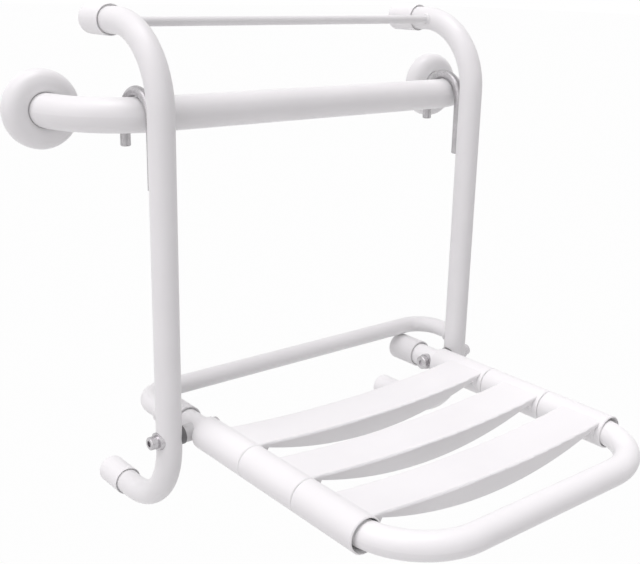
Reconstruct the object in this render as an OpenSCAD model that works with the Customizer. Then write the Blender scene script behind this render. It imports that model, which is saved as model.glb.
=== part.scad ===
// Folding bath seat that hangs by two hooks on a wall grab rail.
// X runs along the wall, Y points to the wall and Z is up. The origin is on the wall, midway
// between the two flanges and level with the axis of the rail.

/* [Grab rail] */
// Distance from an upright's axis out to the centre of the wall flange beside it
flange_out = 58; // [52:1:90]
// Outer diameter of the grab rail
rail_d = 33; // [30:0.5:36]
// Wall thickness of the grab rail's tube
rail_wall = 2; // [1:0.1:3]
// Radius of the rail's bends, to the tube's axis
rail_bend = 78; // [60:1:80]

/* [Wall flanges] */
// Outer diameter of a flange cover
cover_d = 76; // [74:1:80]
// How far a flange cover stands off the wall
cover_h = 17.5; // [16:0.5:20]
// Radius of the flange cover's outer roll
cover_round = 12; // [10:0.5:14]
// Thickness of the flange cover's shell
cover_wall = 1.6; // [1.2:0.1:2.4]
// Gap between the cover's inner lip and the rail
cover_play = 1; // [0.8:0.1:1.6]
// Thickness of a flange plate
plate_t = 4; // [3:0.5:5]
// Distance between the two wall screws of one flange
screw_spacing = 54; // [48:1:58]
// Diameter of a wall screw's hole
screw_hole_d = 5.5; // [4:0.5:6.5]

/* [Side frames] */
// Distance between the axes of the two uprights
upright_spacing = 400; // [385:1:440]
// Distance from the wall to the axes of the uprights
wall_gap = 128; // [124:1:150]
// Outer diameter of the frame and seat tubes
tube_d = 25.4; // [22:0.2:27]
// Wall thickness of the frame and seat tubes
tube_wall = 1.5; // [1:0.1:2.5]
// Radius of the side frames' bends, to the tube's axis
frame_bend = 76; // [60:1:80]
// Height of the top legs' axes above the rail's axis
top_rise = 83; // [76:1:110]
// Height of the rail's axis above the seat's pivots
pivot_drop = 310; // [290:1:340]
// Depth of the lower legs' axes below the seat's pivots
foot_drop = 85; // [80:1:110]

/* [Cross members] */
// Diameter of the thin rod between the top bends
rod_d = 9; // [6:0.5:12]
// Distance from the uprights' axes back to the thin rod
rod_back = 65; // [50:1:90]
// Outer diameter of the rear stop bar
stop_d = 19; // [16:0.5:22]
// Wall thickness of the rear stop bar
stop_wall = 1.5; // [1:0.1:2.5]
// Distance from the uprights' axes back to the stop bar
stop_back = 58; // [52:1:60]
// Radius of the stop bar's corners, to its axis
stop_bend = 30; // [20:1:34]

/* [Hooks] */
// Diameter of the hooks' round bar
hook_d = 10; // [8:0.5:11]
// Inside width of a hook
hook_inside = 40; // [38:0.5:44]
// How far a hook's welded leg runs below the rail's axis
hook_leg = 67; // [50:1:90]
// How far a hook's free end runs below the rail's axis
hook_tip = 32; // [22:1:36]

/* [Seat frame] */
// Gap between a seat tube and the upright beside it
pivot_gap = 10.6; // [9.5:0.1:14]
// Distance from the pivots forward to the axis of the front tube
seat_depth = 306; // [300:1:380]
// Radius of the seat frame's front corners, to the tube's axis
seat_bend = 72; // [66:1:76]
// How far the side tubes run behind the pivots
seat_tail = 58; // [54:1:64]

/* [Slats] */
// Distance from the pivots forward to the first sleeve
slat_start = 11; // [11:0.5:14]
// Gap between the sleeves of neighbouring slats
sleeve_gap = 0.6; // [0.2:0.1:1]
// How far the front sleeves reach over the side tubes' bends
bend_cover = 17; // [0:1:18]
// Thickness of a sleeve's wall
sleeve_wall = 4.2; // [3:0.1:4.4]
// Clearance between a sleeve's bore and the side tube, on the radius
sleeve_play = 0.1; // [0.05:0.05:0.3]
// Front to back width of a slat's panel
panel_w = 50; // [40:1:60]
// Distance from a sleeve's front end back to the panel's front wall
panel_inset = 4; // [2:0.5:8]
// Height of the panel's top above the side tubes' axes, where it meets a sleeve
panel_top = 13.5; // [11:0.5:15]
// How far the panel's top dips between the sleeves
dish = 8; // [5:0.5:12]
// Thickness of the panel's skin
panel_skin = 3; // [2:0.5:4]
// Thickness of the panel's front and rear walls
panel_side = 3; // [2.5:0.5:4]
// Radius of the panel's long top edges
edge_r = 2; // [1:0.5:2.5]
// Depth of the panel's walls at mid span
belly = 20; // [16:0.5:24]
// Depth of a panel where it meets a sleeve
panel_end_t = 2.2; // [1.6:0.1:3]
// Thickness of the ribs under a panel
rib_t = 2.4; // [1.6:0.2:3.2]
// Distance between the cross ribs under a panel
rib_pitch = 46; // [40:1:52]

/* [Caps] */
// Outer diameter of a wall buffer
buffer_d = 29.5; // [29:0.5:32]
// Length of a wall buffer
buffer_len = 39; // [34:1:46]
// Outer diameter of a seat end cap
seat_cap_d = 31; // [29:0.5:32]
// Length of a seat end cap
seat_cap_len = 39; // [30:1:42]
// Thickness of a cap's closed end
cap_end_t = 4; // [3:0.5:6]
// Radius of a cap's outer end edge
cap_round = 3; // [1:0.5:4]
// Width of the groove between a cap's mouth and its tube
mouth_w = 1.4; // [0.8:0.1:1.5]
// Depth of the groove in a cap's mouth
mouth_deep = 2; // [1:0.5:6]

/* [Pivots] */
// Diameter of a pivot bolt
bolt_d = 8; // [6:0.5:8]
// Diameter of a pivot bolt's head
head_d = 13; // [11:0.5:14]
// Height of a pivot bolt's head
head_h = 8; // [5:0.5:10]
// Width of the hexagon socket in a bolt's head, across its flats
socket_w = 6; // [4:1:6]
// Outer diameter of the bolt's washers
washer_d = 18; // [16:0.5:19]
// Thickness of the bolt's washers at their thinnest
washer_t = 1.6; // [1:0.2:2]
// Thickness of a saddle washer at its thinnest
saddle_t = 2; // [1.5:0.1:3]
// Outer diameter of the saddle washers
saddle_d = 19; // [17:0.2:20]
// Outer diameter of the bush's flange
flange_d = 17.6; // [16:0.2:20]
// Outer diameter of the bush inside the side tube
bush_d = 12; // [11:0.5:14]
// Diameter of the round nut on the bolt's inner end
nut_d = 15.5; // [13:0.5:16]
// Height of the round nut
nut_h = 6; // [5:0.5:8]

/* [Fits] */
// Gap left between resting curved faces of pieces that move apart
rest_gap = 0.3; // [0.2:0.05:0.5]
// Gap along a welded joint
weld_gap = 0.05; // [0:0.05:0.1]
// Gap between faces that turn on each other
run_gap = 0.2; // [0.1:0.05:0.3]
// Running clearance of the pivot bolt in its bush, on the radius
bolt_play = 0.05; // [0.02:0.01:0.1]
// Clearance of a fixed part in its hole, on the radius
hole_play = 0.1; // [0.05:0.05:0.2]

/* [Hidden] */
$fn = 96;
LEFT = -1;
RIGHT = 1;
cut = 1;
chamfer = 0.8;

rail_r = rail_d / 2;
tube_r = tube_d / 2;
hook_r = hook_d / 2;
stop_r = stop_d / 2;
seat_cap_r = seat_cap_d / 2;
cover_r = cover_d / 2;
cover_crest = cover_r - cover_round;
lip_round = cover_crest - rail_r - cover_play;
plate_r = cover_r - cover_wall - rest_gap;

upright_y = -wall_gap;
hook_leg_y = upright_y + tube_r + weld_gap + hook_r;
hook_r_mid = hook_inside / 2 + hook_r;
hook_mid_y = hook_leg_y + hook_r_mid;
hook_mid_z = rail_r + rest_gap - hook_inside / 2;
rail_y = hook_leg_y + hook_r + rest_gap + rail_r;

upright_x = upright_spacing / 2;
rail_side = upright_x + flange_out;
pivot_z = -pivot_drop;
foot_z = pivot_z - foot_drop;
stop_y = upright_y + stop_back;
stop_z = pivot_z + seat_cap_r + rest_gap + stop_r;
bend_back = frame_bend - rod_back;
rod_z = top_rise - frame_bend + sqrt(frame_bend * frame_bend - bend_back * bend_back);

seat_x = upright_x - tube_d - pivot_gap;
slat_pitch = (seat_depth - seat_bend + bend_cover - slat_start + sleeve_gap) / 3;
sleeve_len = slat_pitch - sleeve_gap;
front_y = upright_y - seat_depth;
tail_y = upright_y + seat_tail;
sleeve_r = tube_r + sleeve_play + sleeve_wall;
bore_r = tube_r + sleeve_play;
panel_end = seat_x - sqrt(sleeve_r * sleeve_r - panel_top * panel_top);
dish_r = (panel_end * panel_end + dish * dish) / (2 * dish);
dish_z = pivot_z + panel_top - dish + dish_r;
dish_half_angle = asin(seat_x / dish_r);
belly_rise = dish + belly - panel_end_t;
belly_r = (panel_end * panel_end + belly_rise * belly_rise) / (2 * belly_rise);
belly_z = pivot_z + panel_top - dish - belly + belly_r;
bend_inner_r = seat_bend - tube_r;
mouth_flare = bend_inner_r - sqrt(bend_inner_r * bend_inner_r - bend_cover * bend_cover) + rest_gap;
mouth_len = bend_cover + chamfer;

bush_face = -tube_r - saddle_t - run_gap;
bush_end = seat_x - upright_x - tube_r + tube_wall;
nut_washer_face = seat_x - upright_x - tube_r - washer_t;
nut_face = nut_washer_face - run_gap;
bolt_end = nut_face - nut_h / 2;
head_face = tube_r + washer_t;

// Straight tube of one radius from y0 to y1 along Y
module run_y(x, y0, y1, z, r) {
    translate([x, y0, z])
        rotate([-90, 0, 0])
            cylinder(r = r, h = y1 - y0);
}

// Straight tube of one radius from x0 to x1 along X
module run_x(x0, x1, y, z, r) {
    translate([x0, y, z])
        rotate([0, 90, 0])
            cylinder(r = r, h = x1 - x0);
}

// Quarter bend in a vertical plane, from an upright at the front to a leg at the wall
module bend_up(x, y, z, bend, r) {
    translate([x, y, z])
        rotate([0, -90, 0])
            rotate([0, 0, 180])
                mirror([1, 0, 0])
                    rotate_extrude(angle = 90)
                        translate([bend, 0])
                            circle(r = r);
}

// Quarter bend in a horizontal plane about x, y, from the angle given
module bend_flat(x, y, z, bend, start, r) {
    translate([x, y, z])
        rotate([0, 0, start])
            rotate_extrude(angle = 90)
                translate([bend, 0])
                    circle(r = r);
}

// Solid of the rail's path at radius r, with its ends run on by extra
module rail_path(r, extra) {
    corner_x = rail_side - rail_bend;
    corner_y = rail_y + rail_bend;
    run_x(-corner_x, corner_x, rail_y, 0, r);
    for (side = [LEFT, RIGHT]) {
        bend_flat(side * corner_x, corner_y, 0, rail_bend, side == LEFT ? 180 : 270, r);
        run_y(side * rail_side, corner_y, -plate_t + extra, 0, r);
    }
}

module grab_rail() {
    color("white")
        difference() {
            rail_path(rail_r, 0);
            rail_path(rail_r - rail_wall, cut);
        }
}

module flange_plate(side) {
    color("silver")
        translate([side * rail_side, 0, 0])
            rotate([90, 0, 0])
                difference() {
                    cylinder(r = plate_r, h = plate_t);
                    for (level = [-1, 1])
                        translate([0, level * screw_spacing / 2, -cut])
                            cylinder(d = screw_hole_d, h = plate_t + 2 * cut);
                }
}

// Upper quarter of a shell's round section about x, y, on its outer side or its inner one
module quarter_shell(x, y, r, inner) {
    translate([x, y])
        intersection() {
            difference() {
                circle(r = r);
                circle(r = r - cover_wall);
            }
            translate([inner ? -r : 0, 0])
                square(r);
        }
}

// Ring-shaped cover that rolls over from the wall to its crest and back in at the rail
module flange_cover(side) {
    color("white")
        translate([side * rail_side, 0, 0])
            rotate([90, 0, 0])
                rotate_extrude() {
                    translate([cover_r - cover_wall, 0])
                        square([cover_wall, cover_h - cover_round]);
                    quarter_shell(cover_crest, cover_h - cover_round, cover_round, false);
                    quarter_shell(cover_crest, cover_h - lip_round, lip_round, true);
                }
}

// Solid of a side frame's path at radius r, with its wall ends run on by extra
module side_path(x, r, extra) {
    top_z = top_rise - frame_bend;
    low_z = foot_z + frame_bend;
    leg_y = upright_y + frame_bend;
    end_y = -cap_end_t + extra;
    translate([x, upright_y, low_z])
        cylinder(r = r, h = top_z - low_z);
    bend_up(x, leg_y, top_z, frame_bend, r);
    mirror([0, 0, 1])
        bend_up(x, leg_y, -low_z, frame_bend, r);
    run_y(x, leg_y, end_y, top_rise, r);
    run_y(x, leg_y, end_y, foot_z, r);
}

module side_frame(side) {
    x = side * upright_x;
    color("white")
        difference() {
            side_path(x, tube_r, 0);
            side_path(x, tube_r - tube_wall, cut);
            run_x(x - tube_d, x + tube_d, upright_y, pivot_z, bolt_d / 2 + hole_play);
        }
}

module top_rod() {
    color("white")
        difference() {
            run_x(-upright_x, upright_x, upright_y + rod_back, rod_z, rod_d / 2);
            for (side = [LEFT, RIGHT])
                side_path(side * upright_x, tube_r + weld_gap, 0);
        }
}

// Solid of the stop bar's path at radius r, with its ends inside the uprights
module stop_path(r) {
    corner_x = upright_x - stop_bend;
    corner_y = stop_y - stop_bend;
    run_x(-corner_x, corner_x, stop_y, stop_z, r);
    for (side = [LEFT, RIGHT]) {
        bend_flat(side * corner_x, corner_y, stop_z, stop_bend, side == LEFT ? 90 : 0, r);
        run_y(side * upright_x, upright_y, corner_y, stop_z, r);
    }
}

module rear_stop_bar() {
    color("white")
        difference() {
            stop_path(stop_r);
            stop_path(stop_r - stop_wall);
            for (side = [LEFT, RIGHT])
                translate([side * upright_x, upright_y, stop_z - stop_d])
                    cylinder(r = tube_r + weld_gap, h = 2 * stop_d);
        }
}

// Upright bar of a hook at x, y, from z up to the arc, with a chamfer at its lower end
module hook_bar(x, y, z) {
    translate([x, y, z]) {
        cylinder(r1 = hook_r - chamfer, r2 = hook_r, h = chamfer);
        translate([0, 0, chamfer])
            cylinder(r = hook_r, h = hook_mid_z - z - chamfer);
    }
}

module hook(side) {
    x = side * upright_x;
    color("gray") {
        hook_bar(x, hook_leg_y, -hook_leg);
        translate([x, hook_mid_y, hook_mid_z])
            rotate([0, -90, 0])
                rotate([0, 0, -90])
                    rotate_extrude(angle = 180)
                        translate([hook_r_mid, 0])
                            circle(r = hook_r);
        hook_bar(x, hook_mid_y + hook_r_mid, -hook_tip);
    }
}

// Half section of a cap, from its rounded closed end at 0 to its open end at len
module cap_section(r, len) {
    difference() {
        union() {
            square([r - cap_round, cap_round]);
            translate([0, cap_round])
                square([r, len - cap_round]);
            intersection() {
                translate([r - cap_round, cap_round])
                    circle(r = cap_round);
                square([r, cap_round]);
            }
        }
        translate([0, cap_end_t])
            square([tube_r + weld_gap, len]);
        translate([0, len - mouth_deep])
            square([tube_r + mouth_w, len]);
    }
}

// Cap over a tube's end along Y, with its closed end at y0 and its mouth toward the front
module tube_cap(x, y0, z, r, len) {
    translate([x, y0, z])
        rotate([90, 0, 0])
            rotate_extrude()
                cap_section(r, len);
}

module wall_buffer(side, z) {
    color("ivory")
        tube_cap(side * upright_x, 0, z, buffer_d / 2, buffer_len);
}

module seat_end_cap(side) {
    color("ivory")
        tube_cap(side * seat_x, tail_y + cap_end_t, pivot_z, seat_cap_r, seat_cap_len);
}

// Places a pivot part drawn along +Z from the upright's axis outward
module at_pivot(side) {
    translate([side * upright_x, upright_y, pivot_z])
        rotate([0, side * 90, 0])
            children();
}

// Ring along the pivot's axis from u0 out to u1
module pivot_ring(u0, u1, d, bore) {
    translate([0, 0, u0])
        difference() {
            cylinder(d = d, h = u1 - u0);
            translate([0, 0, -cut])
                cylinder(r = bore, h = u1 - u0 + 2 * cut);
        }
}

module pivot_bolt(side) {
    color("dimgray")
        at_pivot(side)
            difference() {
                union() {
                    translate([0, 0, bolt_end])
                        cylinder(d = bolt_d, h = head_face - bolt_end + cut);
                    translate([0, 0, head_face])
                        cylinder(d = head_d, h = head_h - chamfer);
                    translate([0, 0, head_face + head_h - chamfer])
                        cylinder(d1 = head_d, d2 = head_d - 2 * chamfer, h = chamfer);
                }
                translate([0, 0, head_face + head_h / 2])
                    cylinder(d = socket_w / cos(30), h = head_h, $fn = 6);
            }
}

// Upright at a pivot, a little enlarged, to hollow the washers that sit on it
module upright_block(side) {
    translate([side * upright_x, upright_y, pivot_z - saddle_d])
        cylinder(r = tube_r + weld_gap, h = 2 * saddle_d);
}

// Seat tube at a pivot, a little enlarged, to hollow the pieces that sit on it
module seat_tube_block(side) {
    run_y(side * seat_x, upright_y - saddle_d, upright_y + saddle_d, pivot_z, tube_r + weld_gap);
}

module head_washers() {
    color("silver")
        for (side = [LEFT, RIGHT])
            difference() {
                at_pivot(side)
                    pivot_ring(0, head_face, washer_d, bolt_d / 2 + hole_play);
                upright_block(side);
            }
}

module saddle_washer(side) {
    color("black")
        difference() {
            at_pivot(side)
                pivot_ring(-tube_r - saddle_t, 0, saddle_d, bolt_d / 2 + hole_play);
            upright_block(side);
        }
}

// Flanged bush through the side tube, with its flange hollowed to sit on that tube
module pivot_bush(side) {
    color("lightgray") {
        difference() {
            at_pivot(side)
                pivot_ring(seat_x - upright_x, bush_face, flange_d, bolt_d / 2 + bolt_play);
            seat_tube_block(side);
        }
        at_pivot(side)
            pivot_ring(bush_end, bush_face - run_gap, bush_d, bolt_d / 2 + bolt_play);
    }
}

module nut_washers() {
    color("silver")
        for (side = [LEFT, RIGHT])
            difference() {
                at_pivot(side)
                    pivot_ring(nut_washer_face, seat_x - upright_x, washer_d,
                        bolt_d / 2 + hole_play);
                seat_tube_block(side);
            }
}

// Round nuts with a blind bore for the bolt and a hexagon socket in the closed end
module round_nuts() {
    color("silver")
        for (side = [LEFT, RIGHT])
            at_pivot(side)
                translate([0, 0, nut_face - nut_h])
                    difference() {
                        union() {
                            cylinder(d1 = nut_d - 2 * chamfer, d2 = nut_d, h = chamfer);
                            translate([0, 0, chamfer])
                                cylinder(d = nut_d, h = nut_h - chamfer);
                        }
                        translate([0, 0, nut_h / 2 - bolt_play])
                            cylinder(r = bolt_d / 2 + bolt_play, h = nut_h);
                        translate([0, 0, -cut])
                            cylinder(d = socket_w / cos(30), h = cut + nut_h / 3, $fn = 6);
                    }
}

// Solid of the seat frame's path at radius r, with its rear ends run on by extra
module seat_path(r, extra) {
    corner_x = seat_x - seat_bend;
    corner_y = front_y + seat_bend;
    run_x(-corner_x, corner_x, front_y, pivot_z, r);
    for (side = [LEFT, RIGHT]) {
        bend_flat(side * corner_x, corner_y, pivot_z, seat_bend, side == LEFT ? 180 : 270, r);
        run_y(side * seat_x, corner_y, tail_y + extra, pivot_z, r);
    }
}

module seat_frame() {
    color("white")
        difference() {
            seat_path(tube_r, 0);
            seat_path(tube_r - tube_wall, cut);
            for (side = [LEFT, RIGHT])
                run_x(side * seat_x - tube_d, side * seat_x + tube_d, upright_y, pivot_z,
                    bush_d / 2 + weld_gap);
        }
}

// Cross section of a slat's panel, with its depth along X and its width along Y
module panel_section() {
    depth = belly + dish + panel_top + sleeve_r;
    difference() {
        union() {
            translate([dish_r + edge_r, 0])
                square([depth, panel_w]);
            translate([dish_r, edge_r])
                square([2 * edge_r, panel_w - 2 * edge_r]);
            for (y = [edge_r, panel_w - edge_r])
                translate([dish_r + edge_r, y])
                    circle(r = edge_r, $fn = 32);
        }
        translate([dish_r + panel_skin, panel_side])
            square([depth + cut, panel_w - 2 * panel_side]);
    }
}

// Channel that follows the dished top from one side tube to the other
module dished_channel() {
    translate([0, 0, dish_z])
        rotate([-90, 0, 0])
            rotate([0, 0, 90 - dish_half_angle])
                rotate_extrude(angle = 2 * dish_half_angle, $fn = 720)
                    panel_section();
}

// Everything above the walls' fish-belly edge, as a block of width w along Y
module belly_block(w) {
    translate([0, 0, belly_z])
        rotate([-90, 0, 0])
            cylinder(r = belly_r, h = w, $fn = 720);
}

// Long middle rib and cross ribs inside the channel, under the skin
module panel_ribs() {
    count = floor(panel_end / rib_pitch);
    deep = belly + sleeve_r;
    translate([-panel_end, (panel_w - rib_t) / 2, pivot_z - deep])
        cube([2 * panel_end, rib_t, 2 * deep]);
    for (k = [-count : count])
        translate([k * rib_pitch - rib_t / 2, panel_side / 2, pivot_z - deep])
            cube([rib_t, panel_w - panel_side, 2 * deep]);
}

// Everything above the underside of the skin, to keep the ribs below it
module skin_cutter() {
    translate([0, -cut, dish_z])
        rotate([-90, 0, 0])
            cylinder(r = dish_r + panel_skin / 2, h = panel_w + 2 * cut, $fn = 720);
}

module slat_panel() {
    intersection() {
        union() {
            dished_channel();
            difference() {
                panel_ribs();
                skin_cutter();
            }
        }
        belly_block(panel_w);
    }
}

// Sleeve round one side tube, with small chamfers that mark its ends
module sleeve_blank(y0) {
    translate([0, y0, pivot_z])
        rotate([-90, 0, 0]) {
            cylinder(r1 = sleeve_r - chamfer, r2 = sleeve_r, h = chamfer);
            translate([0, 0, chamfer])
                cylinder(r = sleeve_r, h = sleeve_len - 2 * chamfer);
            translate([0, 0, sleeve_len - chamfer])
                cylinder(r1 = sleeve_r, r2 = sleeve_r - chamfer, h = chamfer);
        }
}

// Bore of a sleeve, flared toward the front so that the front one clears the tube's bend
module sleeve_bore(y0) {
    translate([0, y0, pivot_z])
        rotate([-90, 0, 0]) {
            cylinder(r = bore_r, h = sleeve_len + cut);
            translate([0, 0, -cut])
                cylinder(r = bore_r + mouth_flare, h = 2 * cut);
            translate([0, 0, cut])
                cylinder(r1 = bore_r + mouth_flare, r2 = bore_r, h = mouth_len - cut);
        }
}

// One moulded slat; place 0 is the rear one
module slat(place) {
    y0 = upright_y - slat_start - sleeve_len - place * slat_pitch;
    color("whitesmoke")
        difference() {
            union() {
                translate([0, y0 + panel_inset, 0])
                    slat_panel();
                for (side = [LEFT, RIGHT])
                    translate([side * seat_x, 0, 0])
                        sleeve_blank(y0);
            }
            for (side = [LEFT, RIGHT])
                translate([side * seat_x, 0, 0])
                    sleeve_bore(y0);
        }
}

grab_rail();
flange_plate(LEFT);  // flange_plate_left
flange_plate(RIGHT);  // flange_plate_right
flange_cover(LEFT);  // flange_cover_left
flange_cover(RIGHT);  // flange_cover_right
side_frame(LEFT);  // side_frame_left
side_frame(RIGHT);  // side_frame_right
top_rod();
rear_stop_bar();
hook(LEFT);  // hook_left
hook(RIGHT);  // hook_right
wall_buffer(LEFT, top_rise);  // wall_buffer_upper_left
wall_buffer(RIGHT, top_rise);  // wall_buffer_upper_right
wall_buffer(LEFT, foot_z);  // wall_buffer_lower_left
wall_buffer(RIGHT, foot_z);  // wall_buffer_lower_right
pivot_bolt(LEFT);  // pivot_bolt_left
pivot_bolt(RIGHT);  // pivot_bolt_right
head_washers();
saddle_washer(LEFT);  // saddle_washer_left
saddle_washer(RIGHT);  // saddle_washer_right
nut_washers();
round_nuts();
seat_frame();
pivot_bush(LEFT);  // pivot_bush_left
pivot_bush(RIGHT);  // pivot_bush_right
seat_end_cap(LEFT);  // seat_end_cap_left
seat_end_cap(RIGHT);  // seat_end_cap_right
slat(0);  // slat_rear
slat(1);  // slat_middle
slat(2);  // slat_front
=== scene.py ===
"""Folding bath seat on a wall grab rail: the finish of every surface, weld beads, the webs at
the slats' ends, light, floor and camera."""

import math

import bmesh
import bpy
from mathutils import Matrix, Vector


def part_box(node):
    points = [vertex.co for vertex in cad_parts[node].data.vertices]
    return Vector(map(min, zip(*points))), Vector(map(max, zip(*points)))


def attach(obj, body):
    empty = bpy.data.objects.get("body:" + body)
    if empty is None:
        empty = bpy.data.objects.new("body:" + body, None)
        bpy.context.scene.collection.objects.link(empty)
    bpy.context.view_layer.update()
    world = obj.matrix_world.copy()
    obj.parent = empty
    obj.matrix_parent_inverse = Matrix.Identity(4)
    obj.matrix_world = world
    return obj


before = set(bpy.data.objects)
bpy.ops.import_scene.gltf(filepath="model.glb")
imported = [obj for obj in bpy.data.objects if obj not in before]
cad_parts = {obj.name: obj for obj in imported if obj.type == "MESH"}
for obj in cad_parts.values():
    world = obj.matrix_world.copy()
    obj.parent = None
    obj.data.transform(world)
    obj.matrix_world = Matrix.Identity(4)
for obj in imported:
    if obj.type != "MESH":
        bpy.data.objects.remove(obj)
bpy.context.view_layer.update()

# Camera, matched to the photograph's frame of 640 by 564 pixels
PHOTO_WIDTH = 640
FOCAL_PIXELS = 994.6
SENSOR = 36
CAMERA_PLACE = (-0.6489, -0.9069, 0.1215)
CAMERA_TURN = (1.7904431, -0.6152054, 0.4860762)

# Floor: a seat's usual height below the slats, its size in metres, the colour that lights the
# object and the share of plain white that the camera sees
SEAT_HEIGHT = 0.45
FLOOR_SIZE = 60.0
FLOOR_COLOR = (0.55, 0.55, 0.55)
FLOOR_WHITE = 0.97

# Light: the photograph's faint magenta cast, and the strength of the world
LIGHT_TINT = (1.0, 0.968, 0.995)
AMBIENT = 0.45

# Lamps: name, the way each shines, strength, and width in degrees
LAMPS = (
    ("top_light", (0, 0, -1), 1.15, 30),
    ("high_left_light", (0.5, 0, -0.87), 1.0, 50),
    ("left_light", (1, 0, 0), 0.6, 50),
    ("floor_fill", (0.61, 0.61, 0.5), 0.35, 50),
)

# Colours: the powder coat's white, and each finish's share of its colour where it is dull
WHITE = (0.868, 0.868, 0.868)
COAT_DULL = 0.965
PLASTIC_DULL = 0.96
STEEL_DULL = 0.82

# Roughness: the coat's plain value and its range from dull to clear, and how far plastic and
# steel go below and above their own
COAT_ROUGHNESS = 0.4
COAT_ROUGH_RANGE = (0.45, 0.36)
PLASTIC_SPREAD = 0.06
STEEL_BELOW = 0.08
STEEL_ABOVE = 0.12

# Noise: the range that it mostly fills, and its scales in cells to the metre
NOISE_LOW = 0.3
NOISE_HIGH = 0.7
COAT_CLOUDS = 14
COAT_PEEL = 850
COAT_GRAIN = 3200
PLASTIC_CLOUDS = 9
PLASTIC_WAVES = 60
STEEL_CLOUDS = 120
STEEL_LINES = 2200

# Bumps: strength, and height in metres
PEEL_BUMP = (0.12, 0.00012)
COAT_GRAIN_BUMP = (0.04, 0.00004)
WAVE_BUMP = (0.05, 0.0004)
LINE_BUMP = (0.25, 0.00004)
PLASTIC_GRAIN_HEIGHT = 0.00006

# Weld beads, in metres: their radii, ripple and runs. An open bead grows from BEAD_START of its
# radius to the whole of it over BEAD_TAPER points
BAR_BEAD = 0.0019
ROD_BEAD = 0.0013
HOOK_BEAD = 0.0016
BEAD_LIFT = 0.0006
BEAD_RIPPLE = 0.07
BEAD_STEP = 0.0016
BEAD_SIDES = 12
BEAD_TAPER = 6
BEAD_START = 0.35
SADDLE_POINTS = 150
HOOK_WELD_LONG = 0.018
HOOK_WELD_POINTS = 46
HOOK_WELD_END = 0.004
HOOK_WELD_TOP = -0.026

# Webs at the ends of the slats' walls, in metres: the panel's inset, width and wall as in the
# solids; the web's top and its outer edge over the tube's axis; its reach past the sleeve; and
# how far it sinks into the sleeve, keeps off a level face and stands back from the wall's face
PANEL_INSET = 0.004
PANEL_WIDTH = 0.05
WALL = 0.003
WEB_TOP = 0.012
WEB_RISE = 0.0075
WEB_REACH = 0.007
WEB_SINK = 0.0005
WEB_SHY = 0.00005
WEB_BACK = 0.002
WEB_ARC = 16

# Inner rolls that bring the flange covers in to the rail, in metres: the solid's outer roll, and
# the inner one's drop, its gaps to the rail and over the solid's crest, and its thickness
COVER_ROUND = 0.012
LIP_DROP = 0.004
LIP_PLAY = 0.0001
LIP_OVER = 0.00004
LIP_WALL = 0.001
LIP_ARC = 20
LIP_SIDES = 144


def new_material(name, color, roughness, **sockets):
    """A material with its Principled shader, whose uniform values are set on the sockets."""
    mat = bpy.data.materials.new(name)
    mat.use_nodes = True
    mat.diffuse_color = (*color, 1)
    shader = mat.node_tree.nodes["Principled BSDF"]
    shader.inputs["Base Color"].default_value = (*color, 1)
    shader.inputs["Roughness"].default_value = roughness
    for socket, value in sockets.items():
        shader.inputs[socket.replace("_", " ")].default_value = value
    return mat, shader


def place(tree, scale=(1, 1, 1)):
    """Object coordinates, stretched by scale."""
    coords = tree.nodes.new("ShaderNodeTexCoord")
    mapping = tree.nodes.new("ShaderNodeMapping")
    mapping.inputs["Scale"].default_value = scale
    tree.links.new(coords.outputs["Object"], mapping.inputs["Vector"])
    return mapping.outputs["Vector"]


def noise(tree, vector, scale, detail, roughness=0.5):
    """Noise from 0 to 1, scale cells to the metre."""
    node = tree.nodes.new("ShaderNodeTexNoise")
    node.inputs["Scale"].default_value = scale
    node.inputs["Detail"].default_value = detail
    node.inputs["Roughness"].default_value = roughness
    tree.links.new(vector, node.inputs["Vector"])
    return node.outputs["Fac"]


def remap(tree, value, low, high):
    """A noise's range, mapped to low to high."""
    node = tree.nodes.new("ShaderNodeMapRange")
    node.inputs["From Min"].default_value = NOISE_LOW
    node.inputs["From Max"].default_value = NOISE_HIGH
    node.inputs["To Min"].default_value = low
    node.inputs["To Max"].default_value = high
    tree.links.new(value, node.inputs["Value"])
    return node.outputs["Result"]


def blend_colors(tree, value, first, second):
    """Mix of two colours by value."""
    node = tree.nodes.new("ShaderNodeMix")
    node.data_type = "RGBA"
    node.inputs["A"].default_value = (*first, 1)
    node.inputs["B"].default_value = (*second, 1)
    tree.links.new(value, node.inputs["Factor"])
    return node.outputs["Result"]


def bump(tree, height, strength, distance, onward=None):
    """Normal from a height; onward is a normal that it adds to."""
    node = tree.nodes.new("ShaderNodeBump")
    node.inputs["Strength"].default_value = strength
    node.inputs["Distance"].default_value = distance
    tree.links.new(height, node.inputs["Height"])
    if onward:
        tree.links.new(onward, node.inputs["Normal"])
    return node.outputs["Normal"]


def coated_steel(name, painted_light_scale=1.0):
    """White powder coat: faint orange peel, faint unevenness and a clear gloss; its colour factor
    gives lighter or darker copies of the same coat, as painted light or painted shade.
    """
    color = tuple(c * painted_light_scale for c in WHITE)
    gloss = {"Specular_IOR_Level": 0.35, "Coat_Weight": 0.1, "Coat_Roughness": 0.15}
    mat, shader = new_material(name, color, COAT_ROUGHNESS, **gloss)
    tree = mat.node_tree
    vector = place(tree)
    cloudy = noise(tree, vector, COAT_CLOUDS, 4)
    peel = noise(tree, vector, COAT_PEEL, 2)
    grain = noise(tree, vector, COAT_GRAIN, 1)
    dull = tuple(c * COAT_DULL for c in color)
    tree.links.new(
        blend_colors(tree, remap(tree, cloudy, 0, 1), dull, color), shader.inputs["Base Color"]
    )
    tree.links.new(remap(tree, cloudy, *COAT_ROUGH_RANGE), shader.inputs["Roughness"])
    rough_normal = bump(tree, grain, *COAT_GRAIN_BUMP)
    tree.links.new(bump(tree, peel, *PEEL_BUMP, rough_normal), shader.inputs["Normal"])
    return mat


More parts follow.
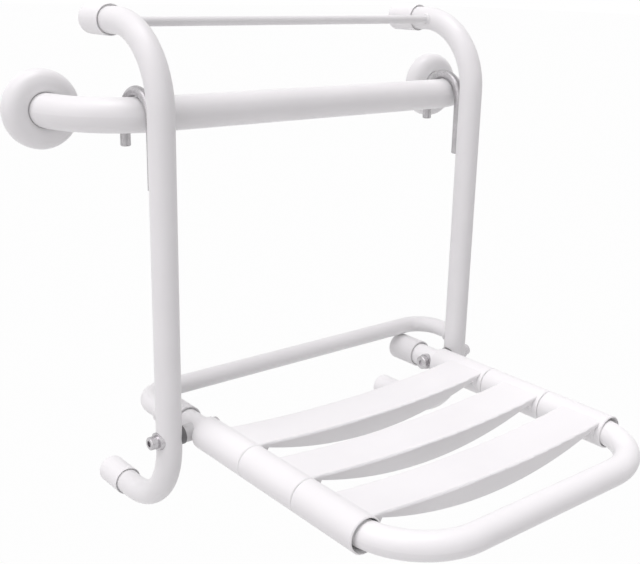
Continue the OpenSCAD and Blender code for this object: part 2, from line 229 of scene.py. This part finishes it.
def moulded_plastic(name, color, roughness, grain_scale=1800, grain=0.1):
    """Injection-moulded plastic: a fine spark-eroded grain over faint flow clouds."""
    mat, shader = new_material(name, color, roughness, Specular_IOR_Level=0.42)
    tree = mat.node_tree
    vector = place(tree)
    clouds = noise(tree, vector, PLASTIC_CLOUDS, 3)
    texture = noise(tree, vector, grain_scale, 2, 0.6)
    waves = noise(tree, vector, PLASTIC_WAVES, 1)
    dull = tuple(c * PLASTIC_DULL for c in color)
    tree.links.new(
        blend_colors(tree, remap(tree, clouds, 0, 1), dull, color), shader.inputs["Base Color"]
    )
    uneven = remap(tree, texture, roughness - PLASTIC_SPREAD, roughness + PLASTIC_SPREAD)
    tree.links.new(uneven, shader.inputs["Roughness"])
    sink = bump(tree, waves, *WAVE_BUMP)
    fine = bump(tree, texture, grain, PLASTIC_GRAIN_HEIGHT, sink)
    tree.links.new(fine, shader.inputs["Normal"])
    return mat


def drawn_steel(name, color, roughness, along=(1, 1, 1), metal=1.0):
    """Steel with fine draw lines along one axis; metal is below 1 where a plating dulls it."""
    mat, shader = new_material(name, color, roughness, Metallic=metal)
    tree = mat.node_tree
    lines = noise(tree, place(tree, along), STEEL_LINES, 2, 0.7)
    clouds = noise(tree, place(tree), STEEL_CLOUDS, 3)
    dull = tuple(c * STEEL_DULL for c in color)
    tree.links.new(
        blend_colors(tree, remap(tree, clouds, 0, 1), dull, color), shader.inputs["Base Color"]
    )
    uneven = remap(tree, lines, roughness - STEEL_BELOW, roughness + STEEL_ABOVE)
    tree.links.new(uneven, shader.inputs["Roughness"])
    tree.links.new(bump(tree, lines, *LINE_BUMP), shader.inputs["Normal"])
    return mat


def dress(nodes, mat):
    """Gives CAD nodes one material."""
    for name in nodes:
        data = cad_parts[name].data
        data.materials.clear()
        data.materials.append(mat)


def nodes_with(text):
    return [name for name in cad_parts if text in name]


def make_materials():
    mats = {
        "rail": coated_steel("rail_coat"),
        "frame": coated_steel("frame_coat"),
        # The seat frame's coat is lightened as painted light and the rod's is darkened as painted
        # shade; both are the frame's white coat.
        "seat": coated_steel("seat_coat_painted_light", 1.05),
        "rod": coated_steel("rod_coat_painted_shade", 0.94),
        "cover": coated_steel("cover_coat"),
        "slat": moulded_plastic("slat_plastic", (0.88, 0.88, 0.88), 0.42),
        # The wall buffers' plastic is lightened as painted light and the seat caps' is greyed as
        # painted shade; both are the same white plastic.
        "buffer": moulded_plastic("buffer_plastic", (0.905, 0.905, 0.905), 0.5, 1400, 0.08),
        "cap": moulded_plastic("seat_cap_plastic_painted_shade", (0.82, 0.82, 0.82), 0.5, 1400, 0.08),
        "bush": moulded_plastic("bush_plastic", (0.67, 0.67, 0.67), 0.4),
        "black": moulded_plastic("black_plastic", (0.16, 0.16, 0.162), 0.35),
        "hook": drawn_steel("hook_steel", (0.53, 0.52, 0.53), 0.3, (1, 1, 0.03), 0.55),
        "bolt": drawn_steel("bolt_steel", (0.61, 0.592, 0.61), 0.26),
        "plate": drawn_steel("plate_steel", (0.55, 0.55, 0.55), 0.38, (0.03, 1, 1)),
    }
    dress(["grab_rail"], mats["rail"])
    dress(nodes_with("side_frame") + ["rear_stop_bar"], mats["frame"])
    dress(["seat_frame"], mats["seat"])
    dress(["top_rod"], mats["rod"])
    dress(nodes_with("flange_cover"), mats["cover"])
    dress(nodes_with("flange_plate"), mats["plate"])
    dress(nodes_with("slat_"), mats["slat"])
    dress(nodes_with("wall_buffer"), mats["buffer"])
    dress(nodes_with("seat_end_cap"), mats["cap"])
    dress(nodes_with("pivot_bush"), mats["bush"])
    dress(nodes_with("saddle_washer"), mats["black"])
    dress(nodes_with("hook_"), mats["hook"])
    dress(nodes_with("pivot_bolt") + ["head_washers", "nut_washers", "round_nuts"], mats["bolt"])
    return mats


def bead(name, points, radius, closed, mat):
    """A weld bead along points, rippled as the weld pool leaves it, on the hanging frame."""
    count = len(points)
    mesh = bmesh.new()
    rings = []
    run = 0.0
    for i, point in enumerate(points):
        before = points[i - 1] if closed or i else point
        after = points[(i + 1) % count] if closed or i < count - 1 else point
        along = (after - before).normalized()
        side = along.orthogonal().normalized()
        across = along.cross(side)
        run += (point - before).length
        size = radius * (1 + BEAD_RIPPLE * math.sin(run / BEAD_STEP * math.tau))
        if not closed:
            size *= min(1, BEAD_START + min(i, count - 1 - i) / BEAD_TAPER)
        turns = [k / BEAD_SIDES * math.tau for k in range(BEAD_SIDES)]
        ring = [side * math.cos(t) * size + across * math.sin(t) * size for t in turns]
        rings.append([mesh.verts.new(point + offset) for offset in ring])
    joined = zip(rings, rings[1:] + rings[:1]) if closed else zip(rings, rings[1:])
    for first, second in joined:
        shift = nearest_start(first[0], second)
        for k in range(BEAD_SIDES):
            a, b = second[(k + shift) % BEAD_SIDES], second[(k + 1 + shift) % BEAD_SIDES]
            mesh.faces.new((first[k], first[(k + 1) % BEAD_SIDES], b, a))
    if not closed:
        mesh.faces.new(rings[0])
        mesh.faces.new(rings[-1])
    add_piece(name, mesh, mat, "hanging_frame").data.shade_smooth()


def add_piece(name, mesh, mat, body):
    """Object of a finished bmesh that rides a body of the part."""
    bmesh.ops.recalc_face_normals(mesh, faces=mesh.faces)
    data = bpy.data.meshes.new(name)
    mesh.to_mesh(data)
    mesh.free()
    data.materials.append(mat)
    obj = bpy.data.objects.new(name, data)
    bpy.context.scene.collection.objects.link(obj)
    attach(obj, body)
    return obj


def nearest_start(vert, ring):
    """Place in ring of the vertex nearest vert, so that two rings join without a twist."""
    return min(range(len(ring)), key=lambda k: (ring[k].co - vert.co).length)


def saddle(centre, out, up, post_radius, bar_radius):
    """Closed run round a bar that stands out from a post; up is the way along the post."""
    wide = out.cross(up)
    post = post_radius + BEAD_LIFT
    bar = bar_radius + BEAD_LIFT
    points = []
    for k in range(SADDLE_POINTS):
        turn = k / SADDLE_POINTS * math.tau
        sideways = bar * math.cos(turn)
        reach = math.sqrt(post * post - sideways * sideways)
        points.append(centre + out * reach + wide * sideways + up * bar * math.sin(turn))
    return points


def add_welds(frame_coat, hook_steel):
    """Beads where the stop bar, the rod and the hooks meet the side frames."""
    rod_low, rod_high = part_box("top_rod")
    bar_low, bar_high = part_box("rear_stop_bar")
    rod_radius = (rod_high.z - rod_low.z) / 2
    bar_radius = (bar_high.z - bar_low.z) / 2
    for side in ("left", "right"):
        low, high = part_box("side_frame_" + side)
        tube_radius = (high.x - low.x) / 2
        upright = Vector(((low.x + high.x) / 2, low.y + tube_radius, 0))
        inward = Vector((-math.copysign(1, upright.x), 0, 0))
        joint = upright + Vector((0, 0, bar_low.z + bar_radius))
        bar_run = saddle(joint, Vector((0, 1, 0)), Vector((0, 0, 1)), tube_radius, bar_radius)
        bead("stop_bar_weld_" + side, bar_run, BAR_BEAD, True, frame_coat)
        joint = Vector((upright.x, rod_low.y + rod_radius, rod_low.z + rod_radius))
        rod_run = saddle(joint, inward, Vector((0, 1, 0)), tube_radius, rod_radius)
        bead("rod_weld_" + side, rod_run, ROD_BEAD, True, frame_coat)
        low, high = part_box("hook_" + side)
        leg_radius = (high.x - low.x) / 2
        apart = low.y + leg_radius - upright.y
        post, leg = tube_radius + BEAD_LIFT, leg_radius + BEAD_LIFT
        back = (post * post - leg * leg + apart * apart) / (2 * apart)
        aside = math.sqrt(post * post - back * back)
        for level, foot in (("low", low.z + HOOK_WELD_END), ("high", HOOK_WELD_TOP)):
            for hand in (-1, 1):
                start = upright + Vector((hand * aside, back, foot))
                steps = range(HOOK_WELD_POINTS)
                rise = HOOK_WELD_LONG / (HOOK_WELD_POINTS - 1)
                run = [start + Vector((0, 0, k * rise)) for k in steps]
                name = f"hook_weld_{side}_{level}_{'inner' if hand * upright.x < 0 else 'outer'}"
                bead(name, run, HOOK_BEAD, False, hook_steel)


def lip_outline(crest, rail_radius, depth):
    """Section of an inner roll, from the cover's crest down to the rail, as radius and y."""
    reach = crest - rail_radius - LIP_PLAY
    points = []
    for k in range(LIP_ARC + 1):
        turn = k / LIP_ARC * math.pi / 2
        points.append((crest - reach * math.sin(turn), depth + LIP_DROP * (1 - math.cos(turn))))
    points.append((points[-1][0], points[-1][1] + LIP_WALL))
    points.append((crest, depth + LIP_WALL))
    return points


def add_lips(coat):
    """Shallow inner rolls that close the flange covers round the rail."""
    rail_low, rail_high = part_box("grab_rail")
    rail_radius = (rail_high.z - rail_low.z) / 2
    for side in ("left", "right"):
        low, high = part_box("flange_cover_" + side)
        centre = (low + high) / 2
        outline = lip_outline((high.x - low.x) / 2 - COVER_ROUND, rail_radius, low.y - LIP_OVER)
        mesh = bmesh.new()
        rings = []
        for k in range(LIP_SIDES):
            turn = k / LIP_SIDES * math.tau
            across, up = math.cos(turn), math.sin(turn)
            rings.append(
                [mesh.verts.new((centre.x + r * across, y, centre.z + r * up)) for r, y in outline]
            )
        for first, second in zip(rings, rings[1:] + rings[:1]):
            for k in range(len(outline)):
                n = (k + 1) % len(outline)
                mesh.faces.new((first[k], first[n], second[n], second[k]))
        lip = add_piece("cover_lip_" + side, mesh, coat, "wall_rail")
        lip.data.shade_smooth()
        lip.data.set_sharp_from_angle(angle=math.radians(30))


def web_outline(sleeve_radius):
    """Section of a web beside a sleeve round 0, 0, with its lower edge tangent to the sleeve."""
    out = sleeve_radius + WEB_REACH
    first = math.atan2(WEB_RISE, out) - math.acos(sleeve_radius / math.hypot(out, WEB_RISE))
    last = math.asin(WEB_TOP / sleeve_radius)
    sunk = sleeve_radius - WEB_SINK
    points = [(out, WEB_TOP), (out, WEB_RISE)]
    for k in range(WEB_ARC + 1):
        turn = first + (last - first) * k / WEB_ARC
        points.append((sunk * math.cos(turn), sunk * math.sin(turn)))
    return points


def add_webs(plastic):
    """Webs that close the ends of each slat's walls down to its sleeves."""
    tube_low, tube_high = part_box("seat_frame")
    tube_radius = (tube_high.z - tube_low.z) / 2
    axis_x = tube_high.x - tube_radius
    axis_z = tube_low.z + tube_radius
    for node in nodes_with("slat_"):
        low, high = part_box(node)
        outline = web_outline(high.x - axis_x)
        mesh = bmesh.new()
        front = low.y + PANEL_INSET
        for y in (front + WEB_BACK, front + PANEL_WIDTH - WALL - WEB_BACK):
            for hand in (-1, 1):
                ends = [
                    [
                        mesh.verts.new((hand * (axis_x - x), at, axis_z + z))
                        for x, z in outline
                    ]
                    for at in (y + WEB_SHY, y + WALL - WEB_SHY)
                ]
                for k in range(len(outline)):
                    n = (k + 1) % len(outline)
                    mesh.faces.new((ends[0][k], ends[0][n], ends[1][n], ends[1][k]))
                for end in ends:
                    mesh.faces.new(end)
        bmesh.ops.triangulate(mesh, faces=[f for f in mesh.faces if len(f.verts) > 4])
        add_piece(node + "_webs", mesh, plastic, "seat")


def make_floor():
    """A pale floor that shows white to the camera and keeps the object's shadow."""
    slat_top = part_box("slat_middle")[1].z
    bpy.ops.mesh.primitive_plane_add(size=FLOOR_SIZE, location=(0, 0, slat_top - SEAT_HEIGHT))
    floor = bpy.context.object
    floor.name = "floor"
    mat = bpy.data.materials.new("floor_white")
    mat.use_nodes = True
    tree = mat.node_tree
    tree.nodes.clear()
    output = tree.nodes.new("ShaderNodeOutputMaterial")
    matte = tree.nodes.new("ShaderNodeBsdfDiffuse")
    matte.inputs["Color"].default_value = (*FLOOR_COLOR, 1)
    bright = tree.nodes.new("ShaderNodeEmission")
    bright.inputs["Strength"].default_value = 1.0
    pale = tree.nodes.new("ShaderNodeMixShader")
    tree.links.new(shown_white(tree, FLOOR_WHITE), pale.inputs["Fac"])
    tree.links.new(matte.outputs["BSDF"], pale.inputs[1])
    tree.links.new(bright.outputs["Emission"], pale.inputs[2])
    clear = tree.nodes.new("ShaderNodeBsdfTransparent")
    side = tree.nodes.new("ShaderNodeNewGeometry")
    two = tree.nodes.new("ShaderNodeMixShader")
    tree.links.new(side.outputs["Backfacing"], two.inputs["Fac"])
    tree.links.new(pale.outputs["Shader"], two.inputs[1])
    tree.links.new(clear.outputs["BSDF"], two.inputs[2])
    tree.links.new(two.outputs["Shader"], output.inputs["Surface"])
    floor.data.materials.append(mat)
    # Lets floor_fill through from below
    floor.visible_shadow = False


def shown_white(tree, share):
    """share for camera, glossy and transmission rays, and 0 for the rest."""
    path = tree.nodes.new("ShaderNodeLightPath")
    value = path.outputs["Is Camera Ray"]
    for output in ("Is Glossy Ray", "Is Transmission Ray"):
        both = tree.nodes.new("ShaderNodeMath")
        both.operation = "MAXIMUM"
        tree.links.new(value, both.inputs[0])
        tree.links.new(path.outputs[output], both.inputs[1])
        value = both.outputs["Value"]
    part = tree.nodes.new("ShaderNodeMath")
    part.operation = "MULTIPLY"
    part.inputs[1].default_value = share
    tree.links.new(value, part.inputs[0])
    return part.outputs["Value"]


def make_world():
    """White to the camera, and a plain dimmer light for the object."""
    world = bpy.data.worlds.new("studio")
    bpy.context.scene.world = world
    world.use_nodes = True
    tree = world.node_tree
    tree.nodes.clear()
    output = tree.nodes.new("ShaderNodeOutputWorld")
    soft = tree.nodes.new("ShaderNodeBackground")
    soft.inputs["Color"].default_value = (*LIGHT_TINT, 1)
    soft.inputs["Strength"].default_value = AMBIENT
    white = tree.nodes.new("ShaderNodeBackground")
    white.inputs["Color"].default_value = (1, 1, 1, 1)
    white.inputs["Strength"].default_value = 1.0
    mix = tree.nodes.new("ShaderNodeMixShader")
    tree.links.new(shown_white(tree, 1.0), mix.inputs["Fac"])
    tree.links.new(soft.outputs["Background"], mix.inputs[1])
    tree.links.new(white.outputs["Background"], mix.inputs[2])
    tree.links.new(mix.outputs["Shader"], output.inputs["Surface"])


def add_sun(name, toward, strength, angle):
    """A broad soft light that shines along toward."""
    lamp = bpy.data.lights.new(name, "SUN")
    lamp.energy = strength
    lamp.color = LIGHT_TINT
    lamp.angle = math.radians(angle)
    obj = bpy.data.objects.new(name, lamp)
    obj.rotation_mode = "QUATERNION"
    obj.rotation_quaternion = Vector(toward).to_track_quat("-Z", "Y")
    bpy.context.scene.collection.objects.link(obj)


def make_lights():
    make_world()
    for name, toward, strength, angle in LAMPS:
        add_sun(name, toward, strength, angle)
    bpy.context.scene.view_settings.view_transform = "Standard"


def make_camera():
    data = bpy.data.cameras.new("camera")
    data.sensor_fit = "HORIZONTAL"
    data.sensor_width = SENSOR
    data.lens = FOCAL_PIXELS * SENSOR / PHOTO_WIDTH
    camera = bpy.data.objects.new("camera", data)
    turn = Vector(CAMERA_TURN)
    world_to_lens = Matrix.Rotation(turn.length, 3, turn)
    camera.matrix_world = Matrix.Translation(CAMERA_PLACE) @ (
        world_to_lens.transposed() @ Matrix.Diagonal((1, -1, -1))
    ).to_4x4()
    bpy.context.scene.collection.objects.link(camera)
    bpy.context.scene.camera = camera


make_camera()
MATS = make_materials()
add_welds(MATS["frame"], MATS["hook"])
add_webs(MATS["slat"])
add_lips(MATS["cover"])
make_floor()
make_lights()
